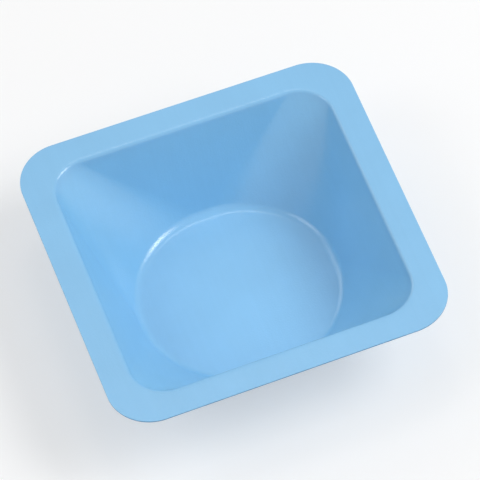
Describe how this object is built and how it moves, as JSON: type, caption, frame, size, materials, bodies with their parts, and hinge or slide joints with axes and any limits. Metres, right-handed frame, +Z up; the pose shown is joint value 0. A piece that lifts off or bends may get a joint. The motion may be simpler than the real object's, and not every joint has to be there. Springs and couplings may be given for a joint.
{
  "type": "weighing boat",
  "caption": "Square weighing boat formed from one thin sheet, with a flat rim, a deep pocket whose sloping walls narrow from a square mouth to a round flat floor.",
  "frame": {"origin": "centre of the flat base, on the surface that the boat stands on", "axes": "+Z up through the middle of the pocket, X and Y parallel to the sides of the square rim"},
  "size_m": [0.085, 0.085, 0.024],
  "materials": {
    "dish_sheet": "satin"
  },
  "bodies": {
    "root": {"dish": "dish_sheet"}
  },
  "joints": []
}
